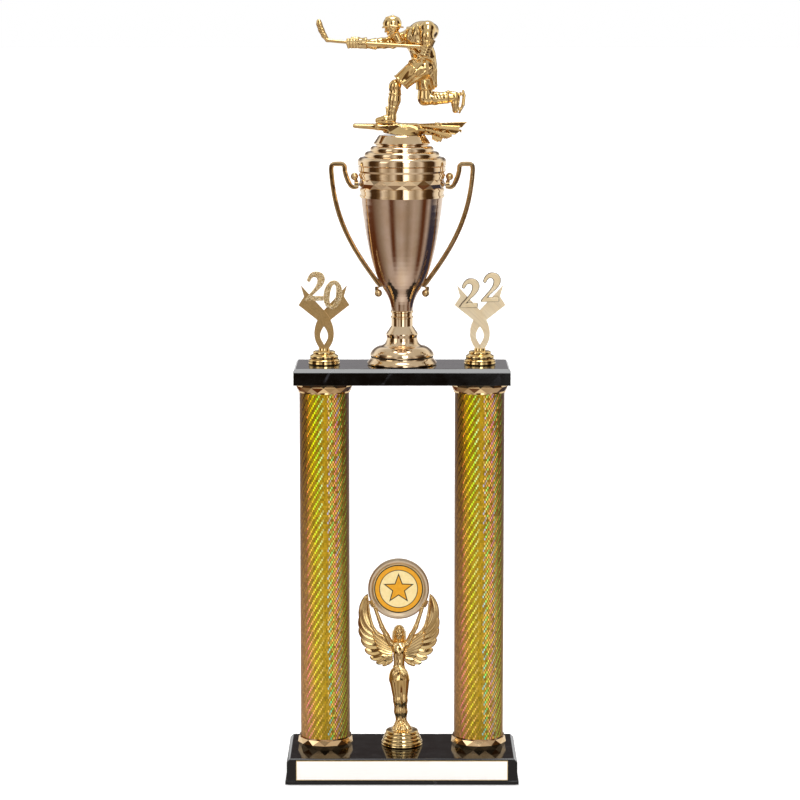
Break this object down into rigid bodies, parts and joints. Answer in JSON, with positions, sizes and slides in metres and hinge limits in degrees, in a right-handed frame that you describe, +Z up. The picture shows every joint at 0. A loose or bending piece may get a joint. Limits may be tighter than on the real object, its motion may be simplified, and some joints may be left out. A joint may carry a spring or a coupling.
{
  "type": "hockey trophy",
  "caption": "Two-column trophy: marble base and shelf, film-covered columns, lidded cup with handles, a skating player on top, date trims and a winged figure holding a medallion.",
  "frame": {"origin": "on the supporting surface, under the middle of the base", "axes": "+Z up, front (name plate) towards -Y, +X to the right seen from the front"},
  "size_m": [0.234, 0.104, 0.7668],
  "materials": {
    "felt": "short felt",
    "black_marble": "polished black marble with faint grey veins",
    "tape": "foam adhesive tape",
    "plate_metal": "bright pale gold, blank",
    "plated_steel": "zinc plated",
    "gold_collar": "metallised gold, faceted",
    "tube_plastic": "plain tube",
    "holographic_film": "gold holographic weave",
    "rose_gold": "metallised champagne gold",
    "satin_gold": "satin brushed round the bowl",
    "bright_gold": "metallised bright gold",
    "figure_gold": "metallised bright gold casting",
    "dark_satin_gold": "satin gold, fine grain",
    "glitter_gold": "sparkling stippled gold",
    "pale_satin_gold": "pale satin gold",
    "printed_insert": "printed gold disc with a plain star"
  },
  "bodies": {
    "stand": {"base_felt": "felt", "base_block": "black_marble", "plate_tape": "tape", "name_plate": "plate_metal", "tie_rod_left": "plated_steel", "tie_rod_right": "plated_steel", "tie_rod_nuts": "plated_steel", "tie_rod_washers": "plated_steel", "lower_collar_left": "gold_collar", "lower_collar_right": "gold_collar", "column_core_left": "tube_plastic", "column_core_right": "tube_plastic", "column_film_left": "holographic_film", "column_film_right": "holographic_film", "upper_collar_left": "gold_collar", "upper_collar_right": "gold_collar", "top_platform": "black_marble", "cup_foot": "rose_gold", "cup_stem": "rose_gold", "cup_bowl": "satin_gold", "cup_band": "rose_gold", "handle_left": "bright_gold", "handle_right": "bright_gold", "handle_screws": "plated_steel", "cup_rod": "plated_steel", "cup_rod_nuts": "plated_steel", "cup_rod_washers": "plated_steel", "victory_bolt": "plated_steel", "victory_washer": "plated_steel"},
    "lid": {"cup_lid": "rose_gold", "figure_riser": "rose_gold", "lid_stud": "plated_steel", "lid_stud_nut": "plated_steel", "lid_stud_washer": "plated_steel"},
    "skater": {"skater_plinth": "figure_gold", "skater_nut": "plated_steel", "skater_figure": "figure_gold", "hockey_stick": "figure_gold"},
    "date_left": {"date_base_left": "bright_gold", "date_ribbon_left": "dark_satin_gold", "date_numerals_left": "glitter_gold", "date_nut_left": "plated_steel"},
    "date_right": {"date_base_right": "bright_gold", "date_ribbon_right": "pale_satin_gold", "date_numerals_right": "pale_satin_gold", "date_nut_right": "plated_steel"},
    "victory": {"victory_base": "bright_gold", "victory_nut": "plated_steel", "victory_figure": "figure_gold", "victory_wings": "figure_gold", "medallion_ring": "figure_gold", "medallion_insert": "printed_insert"}
  },
  "joints": [
    {"name": "lid_lift", "type": "slide", "parent": "stand", "child": "lid", "axis": [0, 0, 1], "range_m": [0, 0.06]},
    {"name": "skater_turn", "type": "hinge", "parent": "lid", "child": "skater", "pos_m": [0, 0.008, 0.647], "axis": [0, 0, 1], "range_deg": [-180, 180]},
    {"name": "left_date_turn", "type": "hinge", "parent": "stand", "child": "date_left", "pos_m": [-0.078, 0.008, 0.4182], "axis": [0, 0, 1], "range_deg": [-180, 180]},
    {"name": "right_date_turn", "type": "hinge", "parent": "stand", "child": "date_right", "pos_m": [0.078, 0.008, 0.4182], "axis": [0, 0, 1], "range_deg": [-180, 180]},
    {"name": "victory_turn", "type": "hinge", "parent": "stand", "child": "victory", "pos_m": [0, 0.008, 0.027], "axis": [0, 0, 1], "range_deg": [-180, 180]}
  ]
}
